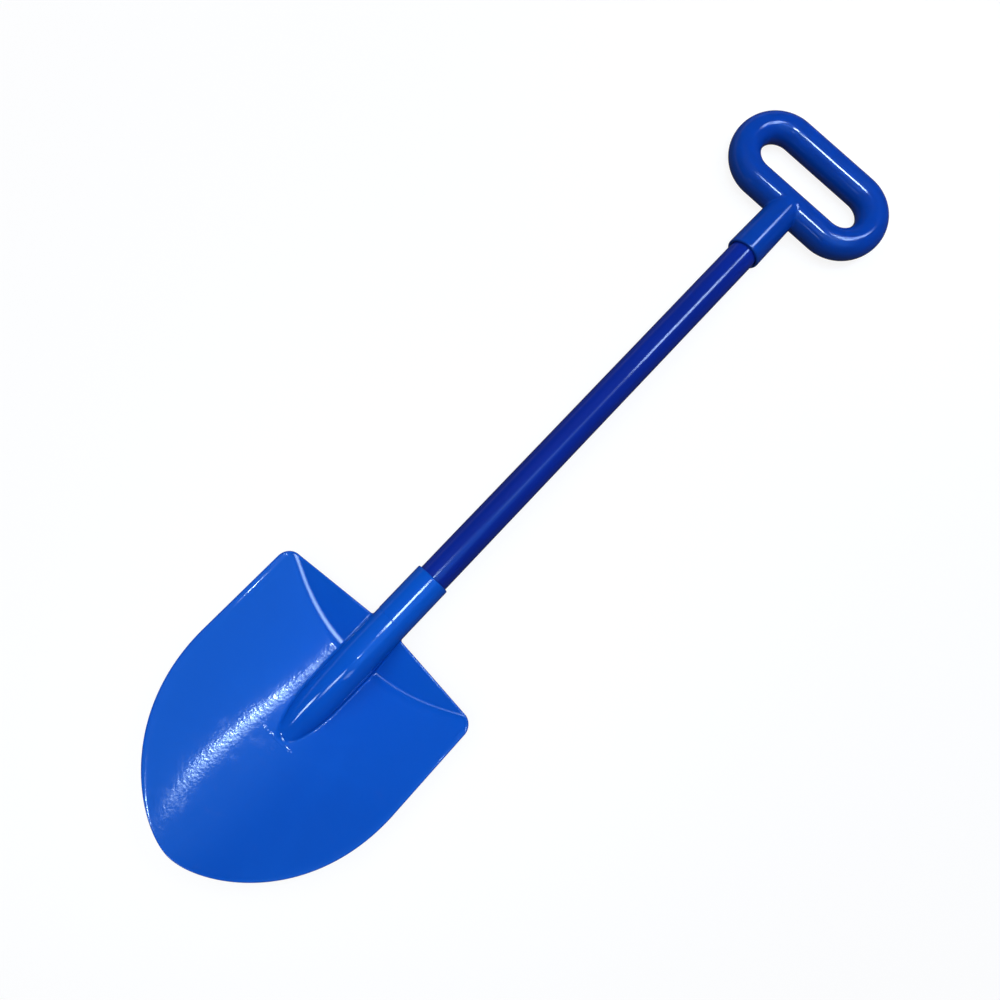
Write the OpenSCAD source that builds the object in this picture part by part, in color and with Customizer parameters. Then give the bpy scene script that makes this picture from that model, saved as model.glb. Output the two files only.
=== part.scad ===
// Sand shovel: a moulded blade and a moulded loop handle on a film-coated steel tube.
// All pieces are drawn along the shaft: Y runs along its axis, from the blade tip to the handle,
// y = 0 is the mouth of the blade socket and z = 0 is the shaft axis. At the end the whole
// shovel is laid on its back, so that the pan and the far bar of the handle touch z = 0.

/* [Shaft] */
// Diameter over the coloured film
shaft_d = 20; // [14:0.5:26]
// Thickness of the plastic film on the tube
film_t = 0.3; // [0.2:0.1:0.6]
// Wall of the steel tube
tube_t = 0.5; // [0.3:0.1:1.5]
// Length of shaft that shows between the two sockets
shaft_shown_l = 295; // [200:5:600]
// How far the shaft reaches into the blade, from the socket mouth
shaft_in_blade = 60; // [52:1:64]
// How far the shaft reaches into the handle, from the socket mouth
shaft_in_handle = 36; // [22:1:36]

/* [Blade] */
// Greatest width of the blade
blade_w = 155.6; // [130:0.2:190]
// Width of the blade between its shoulder corners
shoulder_w = 154.4; // [130:0.2:190]
// Length from the shoulder line to the tip
blade_l = 175.5; // [150:0.5:220]
// Length from the shoulder line to the widest place
side_l = 76; // [70:1:85]
// How far the side keeps its direction before it turns to the tip
side_reach = 67; // [40:1:75]
// How far the tip keeps its direction before it turns to the side
tip_reach = 24; // [12:1:40]
// Slope of the shoulder line down to the corners, in degrees
shoulder_slope = 4.3; // [0:0.1:8]
// Radius of the two shoulder corners
corner_r = 9; // [3:0.5:14]
// Wall of the pan
blade_t = 2.2; // [1.6:0.1:3.5]
// Depth of the pan below its rim, at the foot of the back wall
pan_depth = 16; // [13:0.5:20]
// Length of the back wall along the shaft, at the middle
back_wall_l = 27.5; // [22:0.5:34]
// How far the rim lies below the shaft axis
rim_drop = 2; // [0:0.5:4]

/* [Blade socket and nose] */
// Wall of the blade socket round the shaft
socket_wall = 1.45; // [1.2:0.05:3]
// Length of the socket from its mouth to the shoulder line
socket_l = 39; // [36:1:50]
// Length of the thicker collar, from the mouth to the fine step round the socket
collar_l = 34.4; // [29:0.2:35]
// Height of that step
collar_step = 0.2; // [0.1:0.05:0.4]
// How far the closed tube goes on behind the shoulder line
socket_tail_l = 9; // [4:1:12]
// Rounding of the socket mouth
socket_lip_r = 0.8; // [0.3:0.1:1.1]
// Length from the shoulder line to the tip of the nose
nose_l = 92.5; // [80:0.5:100]
// Length of the rounded end of the nose, seen from above
nose_round_l = 36; // [25:0.5:45]
// Length over which the ridge of the nose comes down to the pan
nose_fall_l = 68; // [50:1:68]
// Wall of the nose and of the ribs inside it
nose_wall = 1.8; // [1.2:0.1:2.4]
// Slope of the sides of the nose, in degrees
nose_draft = 4; // [1:0.5:6]
// Distance between the cross ribs behind the nose
rib_pitch = 20; // [14:1:26]
// How far the ribs stay inside the back of the pan
rib_inset = 1.5; // [0.5:0.5:4]

/* [Handle] */
// Length of the loop across the shaft
loop_l = 123.4; // [104:0.2:150]
// Width of the loop along the shaft
loop_w = 66; // [58:0.5:80]
// Diameter of the grip bar
bar_d = 21.3; // [16:0.1:24]
// Wall of the hollow grip bar
bar_wall = 1.9; // [1.4:0.1:3]
// Length of the handle socket from its mouth to the loop
handle_socket_l = 37.6; // [36:0.2:60]
// Wall of the handle socket at its mouth
handle_mouth_wall = 1.85; // [1.6:0.05:3]
// Wall of the handle socket where it meets the loop
handle_top_wall = 1.25; // [1:0.05:3]
// Rounding of the handle socket mouth
handle_lip_r = 1; // [0.3:0.1:1.2]
// Diameter of the opening between the socket and the hollow bar
vent_d = 10; // [4:1:12]

/* [Screws] */
// Diameter over the thread of a screw
screw_d = 3.5; // [2.5:0.1:4]
// Diameter of the core under the thread
screw_core_d = 2.5; // [1.6:0.1:3]
// Diameter of the countersunk head
screw_head_d = 6.2; // [5:0.1:8]
// Height of the countersunk head
screw_head_h = 1.7; // [1.2:0.1:2.2]
// Length of a screw
screw_l = 9.5; // [7:0.5:12]
// Distance from one thread crest to the next
thread_pitch = 1.3; // [1:0.1:1.8]
// Distance from the blade socket mouth to its screw
blade_screw_in = 20; // [14:1:28]
// Distance from the handle socket mouth to its screw
handle_screw_in = 17; // [12:1:24]

/* [Fits] */
// Clearance between the shaft and the sockets, all round
socket_gap = 0.15; // [0.05:0.05:0.4]
// Clearance round the screws
screw_gap = 0.1; // [0.05:0.05:0.3]
// Clearance at the two ends of the shaft
end_gap = 0.5; // [0.2:0.1:2]

/* [Hidden] */
$fn = 72;

// Overrun of every cut
over = 1;

// Radii and places along the shaft
shaft_r = shaft_d / 2;
bore_r = shaft_r + socket_gap;
socket_r = bore_r + socket_wall;
nose_r = socket_r - collar_step;
tail_r = nose_r - collar_step;
handle_mouth_r = bore_r + handle_mouth_wall;
handle_top_r = bore_r + handle_top_wall;
bar_r = bar_d / 2;
y_shoulder = -socket_l;
y_tip = y_shoulder - blade_l;
y_wide = y_shoulder - side_l;
y_crease = y_shoulder - back_wall_l;
y_nose = y_shoulder - nose_l;
y_stop = -shaft_in_blade - end_gap;
y_handle = shaft_shown_l;
y_bar_near = y_handle + handle_socket_l + bar_r;
y_bar_far = y_bar_near + loop_w - bar_d;

// Share of the half width that the dish takes; the rest is the flat rim
dish_share = 0.95;
// Power of the dish across the shaft, and softness of its edge
dish_power = 2;
dish_soft_share = 0.12;

// Counts of the pan grid: columns, rows down the back wall, along the sides and round the tip.
// The columns crowd towards the rim, as the sine of this angle
column_angle = 85;
columns = 36;
wall_rows = 3;
side_rows = 7;
tip_rows = 15;
corner_steps = 9;

// A point of a cubic curve with its four control values
function curve(a, b, c, d, t) =
    a * pow(1 - t, 3) + 3 * b * t * pow(1 - t, 2) + 3 * c * t * t * (1 - t) + d * pow(t, 3);

// Half width and place of the outline between the widest place and the tip, t from 0 to 1
function tip_x(t) = curve(blade_w / 2, blade_w / 2, tip_reach, 0, t);
function tip_y(t) = curve(y_wide, y_wide - side_reach, y_tip, y_tip, t);

// Shoulder line, and half width of the straight sides
function shoulder_y(x) = y_shoulder - abs(x) * tan(shoulder_slope);
function side_x(y) =
    shoulder_w / 2 + (blade_w - shoulder_w) / 2 * (y_shoulder - y) / (y_shoulder - y_wide);

// Share of the full depth at a share of the dish's half width: one in the middle, none at the rim
function soft(v) = (v + sqrt(v * v + dish_soft_share * dish_soft_share)) / 2;
function dish(s) = soft(1 - pow(abs(s) / dish_share, dish_power)) / soft(1);
// Share of the full depth along the shaft: full at the crease, none at the tip
function run(y) = 1 - pow(max(0, y_crease - y) / (y_crease - y_tip), 2);

// Height of the pan, and of the back wall over the same x
function pan_z(x, y, w) = -rim_drop - pan_depth * max(0, run(y)) * dish(x / max(w, blade_t));
function crease_y(x) = shoulder_y(x) - back_wall_l * dish(x / (shoulder_w / 2));
function crease_z(x) = -rim_drop - pan_depth * dish(x / (shoulder_w / 2));

// One row of the pan's upper face, as points
function row_at(kind, v) = [for (i = [0:columns])
    let (u = sin(column_angle * (2 * i / columns - 1)) / sin(column_angle))
    kind == "lip" ? let (x = u * (shoulder_w / 2 + over)) [x, shoulder_y(x) + over, -rim_drop]
    : kind == "wall" ? let (x = u * (shoulder_w / 2 + over),
            y = shoulder_y(x) + v * (crease_y(x) - shoulder_y(x)))
        [x, y, -rim_drop + v * (crease_z(x) + rim_drop)]
    : kind == "side" ? let (x0 = u * (shoulder_w / 2 + over),
            y = crease_y(x0) + v * (y_wide - crease_y(x0)), w = side_x(y), x = u * (w + over))
        [x, y, pan_z(x, y, w)]
    : kind == "tip" ? let (w = tip_x(v), y = tip_y(v), x = u * (w + over)) [x, y, pan_z(x, y, w)]
    : [u * over, y_tip - over, -rim_drop]];

pan_rows = concat(
    [row_at("lip", 0)],
    [for (k = [0:wall_rows - 1]) row_at("wall", k / wall_rows)],
    [for (k = [0:side_rows - 1]) row_at("side", k / side_rows)],
    [for (k = [0:tip_rows]) row_at("tip", k / tip_rows)],
    [row_at("end", 0)]);

// A closed body between the rows and the same rows lowered by the wall
module sheet(rows, wall) {
    n = len(rows[0]);
    m = len(rows);
    top = [for (r = rows) each r];
    low = [for (p = top) [p[0], p[1], p[2] - wall]];
    shift = n * m;
    faces = concat(
        [for (j = [0:m - 2], i = [0:n - 2]) let (a = j * n + i, b = a + 1, c = b + n, d = a + n)
            each [[a, b, c], [a, c, d]]],
        [for (j = [0:m - 2], i = [0:n - 2]) let (a = shift + j * n + i, b = a + 1, c = b + n, d = a + n)
            each [[a, c, b], [a, d, c]]],
        [for (i = [0:n - 2]) let (a = i, b = i + 1)
            each [[a, a + shift, b + shift], [a, b + shift, b]]],
        [for (i = [0:n - 2]) let (a = (m - 1) * n + i, b = a + 1)
            each [[a, b + shift, a + shift], [a, b, b + shift]]],
        [for (j = [0:m - 2]) let (a = j * n, b = a + n)
            each [[a, b + shift, a + shift], [a, b, b + shift]]],
        [for (j = [0:m - 2]) let (a = j * n + n - 1, b = a + n)
            each [[a, a + shift, b + shift], [a, b + shift, b]]]);
    polyhedron(points = concat(top, low), faces = faces);
}

// Outline of the blade from above: right half from the shoulder to the tip, then mirrored
corner_top = [shoulder_w / 2 - corner_r, shoulder_y(shoulder_w / 2) - corner_r];
outline_half = concat(
    [[0, y_shoulder]],
    [for (k = [corner_steps:-1:0]) let (a = 90 * k / corner_steps) corner_top + corner_r * [cos(a), sin(a)]],
    [for (k = [0:2 * tip_rows]) let (t = k / (2 * tip_rows)) [tip_x(t), tip_y(t)]]);
outline = concat(outline_half,
    [for (k = [len(outline_half) - 2:-1:1]) [-outline_half[k][0], outline_half[k][1]]]);

module blade_pan() {
    intersection() {
        sheet(pan_rows, blade_t);
        translate([0, 0, -rim_drop - pan_depth - blade_t - over])
            linear_extrude(pan_depth + blade_t + 2 * over) polygon(outline);
    }
}

// Nose: half width and ridge height along the shaft, drawn in by a wall for the hollow.
// The ridge keeps its height past the end of the shaft and then drops, faster and faster, to the
// middle of the pan's wall; its end is blunt by a small step
ridge_power = 1.4;
nose_blunt = nose_wall / 8;
y_round = y_nose + nose_round_l;
y_fall = min(y_nose + nose_fall_l, y_stop);
ridge_foot = -rim_drop - pan_depth * run(y_nose) - blade_t / 2;
ridge_h = nose_r - ridge_foot;
function nose_half(y, wall) =
    let (v = max(0, y_round - y) / (nose_round_l - wall)) (nose_r - wall) * sqrt(max(0, 1 - v * v));
function nose_ridge(y, wall) =
    let (h = ridge_h - wall, v = max(0, y_fall - y) / (y_fall - y_nose) * ridge_h / h)
    ridge_foot + h * max(0, 1 - pow(v, ridge_power));

// Height on the middle line of the back wall or of the pan
function floor_z(y) = y > y_crease
    ? -rim_drop - pan_depth * max(0, y_shoulder - y) / (y_shoulder - y_crease)
    : -rim_drop - pan_depth * run(y);

nose_rings = 22;
nose_sides = 12;
// One ring of the nose: an arch on sloping sides
function nose_ring(y, foot, wall) = let (h = nose_half(y, wall), z1 = nose_ridge(y, wall),
        z0 = max(z1 - h, foot), spread = (z0 - foot) * tan(nose_draft))
    concat([[h + spread, y, foot]],
        [for (k = [0:nose_sides]) let (a = 180 * k / nose_sides) [h * cos(a), y, z0 + (z1 - z0) * sin(a)]],
        [[-h - spread, y, foot]]);

// A closed body through rings of equal point counts, along -Y
module loft(rings) {
    n = len(rings[0]);
    m = len(rings);
    faces = concat(
        [[for (i = [0:n - 1]) i]],
        [for (j = [0:m - 2], i = [0:n - 1]) let (a = j * n + i, b = j * n + (i + 1) % n, c = b + n, d = a + n)
            each [[a, d, c], [a, c, b]]],
        [[for (i = [n - 1:-1:0]) (m - 1) * n + i]]);
    polyhedron(points = [for (r = rings) each r], faces = faces);
}

// Stations that crowd towards the tip of the nose, where it turns fastest
function nose_y(k, y0, y1) = y0 + (y1 - y0) * sin(90 * k / nose_rings);

// Solid nose, drawn in by an inset; it starts inside the collar
module nose_body(inset) {
    y1 = y_nose + inset + nose_blunt;
    loft([for (k = [0:nose_rings]) let (y = nose_y(k, -collar_l + over, y1))
        nose_ring(y, floor_z(y) - blade_t / 2, inset)]);
}

// Hollow behind the nose, open at the back of the pan
y_hollow = y_shoulder - socket_tail_l + collar_step;
module nose_hollow() {
    y0 = y_hollow;
    foot = -rim_drop - pan_depth - blade_t - over;
    loft([for (k = [0:nose_rings]) let (y = nose_y(k, y0, y_nose + nose_wall + nose_blunt))
        nose_ring(y, foot, nose_wall)]);
}

// A tube or rod along Y between two places
module along_y(y0, y1, r) {
    translate([0, y0, 0]) rotate([-90, 0, 0]) cylinder(r = r, h = y1 - y0);
}

// Ribs behind the nose: a saddle and a stop at the end of the shaft, cross ribs and a long rib.
// The end of the shaft has a shallow seat in the stop
rib_t = nose_wall;
rib_seat = rib_t / 3;
y_saddle = (y_hollow + y_stop) / 2;
cross_ribs = [for (y = [y_stop - rib_pitch:-rib_pitch:y_nose + rib_pitch / 2]) y];

module ribs() {
    depth = rim_drop + pan_depth + blade_t + socket_r + over;
    intersection() {
        nose_body(nose_wall / 2);
        union() {
            for (y = concat([y_saddle, y_stop - rib_t / 2 + rib_seat], cross_ribs))
                translate([-socket_r - over, y - rib_t / 2, -depth + socket_r])
                    cube([2 * (socket_r + over), rib_t, depth]);
            translate([-rib_t / 2, y_nose, -depth + socket_r])
                cube([rib_t, y_stop - y_nose, depth]);
        }
        // the ribs end short of the back of the pan
        translate([-blade_w / 2, y_tip, -rim_drop - pan_depth + rib_inset])
            cube([blade_w, y_shoulder - y_tip, pan_depth + rim_drop + 2 * socket_r]);
    }
}

// Ring of a mouth with a rounded lip, from y = 0 towards -Y
module lip_tube(r, l, lip) {
    rotate([90, 0, 0]) {
        translate([0, 0, lip]) cylinder(r = r, h = l - lip);
        cylinder(r = r - lip, h = l);
        translate([0, 0, lip]) rotate_extrude() translate([r - lip, 0]) circle(r = lip);
    }
}

// Hole of a countersunk screw that enters from below at a radius of the socket
module screw_hole(y, r) {
    translate([0, y, -r]) {
        cylinder(d = screw_d + 2 * screw_gap, h = screw_l);
        translate([0, 0, -over]) cylinder(d = screw_head_d + 2 * screw_gap, h = over);
        cylinder(d1 = screw_head_d + 2 * screw_gap, d2 = screw_d + 2 * screw_gap, h = screw_head_h);
    }
}

module blade_raw() {
    difference() {
        union() {
            difference() {
                union() {
                    blade_pan();
                    nose_body(0);
                }
                nose_hollow();
            }
            ribs();
            lip_tube(socket_r, collar_l, socket_lip_r);
            along_y(y_shoulder - socket_tail_l, -collar_l + over, tail_r);
        }
        along_y(y_stop, over, bore_r);
        screw_hole(-blade_screw_in, socket_r);
    }
}

module shaft_tube_raw() {
    difference() {
        along_y(-shaft_in_blade, y_handle + shaft_in_handle, shaft_r - film_t);
        along_y(-shaft_in_blade - over, y_handle + shaft_in_handle + over, shaft_r - film_t - tube_t);
        screw_hole(-blade_screw_in, socket_r);
        screw_hole(y_handle + handle_screw_in, handle_r_at(handle_screw_in));
    }
}

module shaft_film_raw() {
    difference() {
        along_y(-shaft_in_blade, y_handle + shaft_in_handle, shaft_r);
        along_y(-shaft_in_blade - over, y_handle + shaft_in_handle + over, shaft_r - film_t);
        screw_hole(-blade_screw_in, socket_r);
        screw_hole(y_handle + handle_screw_in, handle_r_at(handle_screw_in));
    }
}

// Outer radius of the tapered handle socket at a distance from its mouth
handle_ball_y = y_bar_near - bar_r / 2;
handle_cone_l = handle_ball_y - y_handle - handle_lip_r;
function handle_r_at(d) =
    handle_mouth_r + (handle_top_r - handle_mouth_r) * max(0, d - handle_lip_r) / handle_cone_l;

// Ring-shaped bar of the loop: two straight bars and two half rings
bar_half = loop_l / 2 - loop_w / 2;
ring_r = loop_w / 2 - bar_r;
module loop(r) {
    for (side = [-1, 1]) {
        translate([-bar_half, side * ring_r, 0]) rotate([0, 90, 0]) cylinder(r = r, h = 2 * bar_half);
        translate([side * bar_half, 0, 0]) rotate([0, 0, side == 1 ? -90 : 90])
            rotate_extrude(angle = 180) translate([ring_r, 0]) circle(r = r);
    }
}

module handle_raw() {
    y_mid = (y_bar_near + y_bar_far) / 2;
    difference() {
        union() {
            translate([0, y_mid, 0]) loop(bar_r);
            // tapered socket with a rounded lip, and the rounded end that runs over the near bar
            translate([0, y_handle, 0]) rotate([-90, 0, 0]) {
                translate([0, 0, handle_lip_r])
                    cylinder(r1 = handle_mouth_r, r2 = handle_top_r, h = handle_cone_l);
                cylinder(r = handle_mouth_r - handle_lip_r, h = handle_lip_r + over);
                translate([0, 0, handle_lip_r]) rotate_extrude()
                    translate([handle_mouth_r - handle_lip_r, 0]) circle(r = handle_lip_r);
            }
            translate([0, handle_ball_y, 0]) sphere(r = handle_top_r);
        }
        translate([0, y_mid, 0]) loop(bar_r - bar_wall);
        along_y(y_handle - over, y_handle + shaft_in_handle + end_gap, bore_r);
        along_y(y_handle, y_bar_near, vent_d / 2);
        screw_hole(y_handle + handle_screw_in, handle_r_at(handle_screw_in));
    }
}

// Countersunk screw, its head at z = 0 and its point upwards
module screw() {
    turns = floor((screw_l - screw_head_h - thread_pitch) / thread_pitch);
    slot_w = screw_head_d / 6;
    difference() {
        union() {
            cylinder(d1 = screw_head_d, d2 = screw_core_d, h = screw_head_h);
            cylinder(d = screw_core_d, h = screw_l - thread_pitch);
            translate([0, 0, screw_l - thread_pitch]) cylinder(d1 = screw_core_d, d2 = 0, h = thread_pitch);
            for (k = [0:turns - 1]) translate([0, 0, screw_head_h + k * thread_pitch]) rotate_extrude()
                polygon([[0, 0], [screw_core_d / 2, 0], [screw_d / 2, thread_pitch / 2],
                    [screw_core_d / 2, thread_pitch], [0, thread_pitch]]);
        }
        for (a = [0, 90]) rotate([0, 0, a])
            translate([-screw_head_d / 3, -slot_w / 2, -over])
                cube([2 * screw_head_d / 3, slot_w, screw_head_h / 2 + over]);
    }
}

// Laying the shovel down: the pan touches beside the hollow of the nose, the handle with its far bar
rest_x = nose_r - nose_wall + (rim_drop + pan_depth) * tan(nose_draft);
rest_z = crease_z(rest_x) - blade_t;
rest_run = y_bar_far - crease_y(rest_x);
lean = asin(-bar_r / norm([rest_z, rest_run])) - atan2(rest_z, rest_run);
lift = y_bar_far * sin(lean) + bar_r;
y_front = y_tip * cos(lean) - (rim_drop + blade_t) * sin(lean);
y_back = y_bar_far * cos(lean) + bar_r;

module lay() {
    translate([0, -(y_front + y_back) / 2, lift]) rotate([-lean, 0, 0]) children();
}

module blade() { color("#1453c4") lay() blade_raw(); }
module shaft_tube() { color("silver") lay() shaft_tube_raw(); }
module shaft_film() { color("#141f8c") lay() shaft_film_raw(); }
module handle() { color("#0d46ae") lay() handle_raw(); }
module blade_screw() { color("lightgray") lay() translate([0, -blade_screw_in, -socket_r]) screw(); }
module handle_screw() {
    color("lightgray") lay()
        translate([0, y_handle + handle_screw_in, -handle_r_at(handle_screw_in)]) screw();
}

blade();
shaft_tube();
shaft_film();
handle();
blade_screw();
handle_screw();
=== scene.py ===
"""Looks of a child's sand shovel: a moulded blade and loop grip on a film-coated steel tube.

Shapes are worked out in millimetres along the shaft, with y = 0 at the mouth of the blade's
socket and z = 0 on the axis, and are then laid down in the frame, in metres.
"""

import logging
import math
from collections.abc import Callable
from dataclasses import dataclass, field
from enum import Enum

import bpy
import numpy as np
from mathutils import Matrix, Vector


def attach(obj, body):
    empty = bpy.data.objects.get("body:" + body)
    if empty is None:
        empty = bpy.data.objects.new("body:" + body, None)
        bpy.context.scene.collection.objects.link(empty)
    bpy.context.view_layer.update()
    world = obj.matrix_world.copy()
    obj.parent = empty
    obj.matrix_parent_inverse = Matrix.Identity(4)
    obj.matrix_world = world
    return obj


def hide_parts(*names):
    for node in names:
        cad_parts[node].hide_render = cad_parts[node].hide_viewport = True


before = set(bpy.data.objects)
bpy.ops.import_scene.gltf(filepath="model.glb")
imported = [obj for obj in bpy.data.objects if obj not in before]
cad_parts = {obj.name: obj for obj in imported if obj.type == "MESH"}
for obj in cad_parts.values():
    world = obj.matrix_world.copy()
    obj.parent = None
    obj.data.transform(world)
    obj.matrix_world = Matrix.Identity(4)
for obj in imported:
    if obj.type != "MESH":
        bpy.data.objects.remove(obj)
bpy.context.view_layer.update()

Array = np.ndarray
Body = Callable[[Array, Array, Array], Array]
Triple = tuple[float, float, float]

MM = 0.001
TINY = 1e-3
BODY = "root"
SMOOTH = "SMOOTHSTEP"
log = logging.getLogger("sand_shovel")


class Kind(Enum):
    """Kinds of node that the trees of shapes, finishes and the studio are made of."""

    ADD_SHADER = "ShaderNodeAddShader"
    BACKGROUND = "ShaderNodeBackground"
    BOOLEAN = "GeometryNodeMeshBoolean"
    BUMP = "ShaderNodeBump"
    CIRCLE = "GeometryNodeCurvePrimitiveCircle"
    COMBINE = "ShaderNodeCombineXYZ"
    CONE = "GeometryNodeMeshCone"
    COORDINATE = "ShaderNodeTexCoord"
    CUBE = "GeometryNodeMeshCube"
    CYLINDER = "GeometryNodeMeshCylinder"
    DIFFUSE = "ShaderNodeBsdfDiffuse"
    EMISSION = "ShaderNodeEmission"
    GROUP_INPUT = "NodeGroupInput"
    GROUP_OUTPUT = "NodeGroupOutput"
    JOIN = "GeometryNodeJoinGeometry"
    LIGHT_PATH = "ShaderNodeLightPath"
    MAPPING = "ShaderNodeMapping"
    MATERIAL_OUTPUT = "ShaderNodeOutputMaterial"
    MATH = "ShaderNodeMath"
    MIX = "ShaderNodeMix"
    MOVE = "GeometryNodeTransform"
    NOISE = "ShaderNodeTexNoise"
    NORMAL = "GeometryNodeInputNormal"
    RANGE = "ShaderNodeMapRange"
    REALIZE = "GeometryNodeRealizeInstances"
    SEPARATE = "ShaderNodeSeparateXYZ"
    SET_MATERIAL = "GeometryNodeSetMaterial"
    SET_POSITION = "GeometryNodeSetPosition"
    SHADE_SMOOTH = "GeometryNodeSetShadeSmooth"
    SPIRAL = "GeometryNodeCurveSpiral"
    SWEEP = "GeometryNodeCurveToMesh"
    VECTOR_MATH = "ShaderNodeVectorMath"
    WORLD_OUTPUT = "ShaderNodeOutputWorld"


def srgb(code: str) -> tuple[float, float, float, float]:
    """Turns an sRGB hex value into a linear colour.

    Args:
        code: six hex digits after a hash.

    Returns:
        Linear red, green and blue, and an alpha of one.
    """
    parts = [int(code[k : k + 2], 16) / 255 for k in (1, 3, 5)]
    red, green, blue = (
        c / 12.92 if c <= 0.04045 else ((c + 0.055) / 1.055) ** 2.4 for c in parts
    )
    return red, green, blue, 1.0


class NodeMaker:
    """Adds nodes to one tree."""

    def __init__(self, tree: bpy.types.NodeTree) -> None:
        """Takes the tree that gets the nodes."""
        self.tree = tree

    def add(
        self,
        kind: Kind,
        *values: object,
        named: dict[str | int, object] | None = None,
        **settings: object,
    ) -> bpy.types.Node:
        """Adds a node with its settings, its values and its links.

        Args:
            kind: kind of the node.
            values: what the first inputs get, in order: a value, a socket, a node, which
                stands for its first output, or a list of nodes where a socket takes several.
            named: what other inputs get, by name or number.
            settings: attributes of the node and their values.

        Returns:
            The new node.
        """
        node = self.tree.nodes.new(kind.value)
        for name, value in settings.items():
            setattr(node, name, value)
        for name, given in (dict(enumerate(values)) | (named or {})).items():
            for value in given if isinstance(given, list) else [given]:
                source = value.outputs[0] if isinstance(value, bpy.types.Node) else value
                if isinstance(source, bpy.types.NodeSocket):
                    self.tree.links.new(source, node.inputs[name])
                else:
                    node.inputs[name].default_value = source
        return node


def smooth_max(a: Array, b: Array, blend: float) -> Array:
    """Largest of two fields, with a fillet where they cross.

    Args:
        a: first field.
        b: second field.
        blend: difference of the fields over which the fillet runs.

    Returns:
        The joined field.
    """
    share = np.maximum(blend - np.abs(a - b), 0) / blend
    return np.maximum(a, b) + share * share * blend / 4


def smooth_min(a: Array, b: Array, blend: float) -> Array:
    """Smallest of two fields with a fillet, which joins two bodies."""
    return -smooth_max(-a, -b, blend)


def cut(body: Array, tool: Array, blend: float) -> Array:
    """Takes a tool away from a body and softens the new edge."""
    return smooth_max(body, -tool, blend)


def round_edge(a: Array, b: Array, radius: float) -> Array:
    """Keeps what lies in both fields, and rounds the edge where they cross.

    Args:
        a: first field.
        b: second field.
        radius: radius of the edge.

    Returns:
        The joined field.
    """
    u = a + radius
    v = b + radius
    outside = np.hypot(np.maximum(u, 0), np.maximum(v, 0))
    return np.minimum(np.maximum(u, v), 0) + outside - radius


def curve(a: float, b: float, c: float, d: float, t: Array) -> Array:
    """Cubic curve through its first and last control value.

    Args:
        a: first control value.
        b: second control value.
        c: third control value.
        d: last control value.
        t: places along the curve, from 0 to 1.

    Returns:
        The curve's values.
    """
    s = 1 - t
    return a * s**3 + 3 * b * t * s**2 + 3 * c * t**2 * s + d * t**3


def rod(radial: Array, y: Array, low: float, high: float, radius: float) -> Array:
    """Field of a round rod along the shaft.

    Args:
        radial: distance from the axis.
        y: place along the shaft.
        low: one end of the rod.
        high: other end of the rod.
        radius: radius of the rod.

    Returns:
        The field, negative inside.
    """
    return np.maximum(radial - radius, np.maximum(low - y, y - high))


@dataclass(frozen=True)
class ShaftSizes:
    """Sizes of the coated tube and its seats, in millimetres."""

    diameter: float = 20.0
    film: float = 0.3
    shown: float = 295.0
    in_blade: float = 60.0
    in_grip: float = 36.0
    gap: float = 0.15
    end_gap: float = 0.5

    @property
    def radius(self) -> float:
        """Radius over the film."""
        return self.diameter / 2

    @property
    def bore(self) -> float:
        """Radius of the bores that hold the shaft."""
        return self.radius + self.gap


@dataclass(frozen=True)
class ScrewSizes:
    """Sizes of a countersunk screw and its hole, in millimetres."""

    thread: float = 3.5
    core: float = 2.5
    head: float = 6.2
    head_height: float = 1.7
    length: float = 9.5
    pitch: float = 1.3
    gap: float = 0.1

    def hole(self, x: Array, y: Array, z: Array, place: float, radius: float) -> Array:
        """Field of the hole of a screw that enters from below.

        Args:
            x: across the shaft.
            y: along the shaft.
            z: height over the axis.
            place: where the hole lies along the shaft.
            radius: radius of the socket that it enters.

        Returns:
            The field, negative inside the hole.
        """
        depth = z + radius
        slope = (self.head - self.thread) / 2 / self.head_height
        wide = np.clip(self.head / 2 - slope * depth, self.thread / 2, self.head / 2)
        return np.maximum(np.hypot(x, y - place) - wide - self.gap, depth - self.length)


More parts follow.
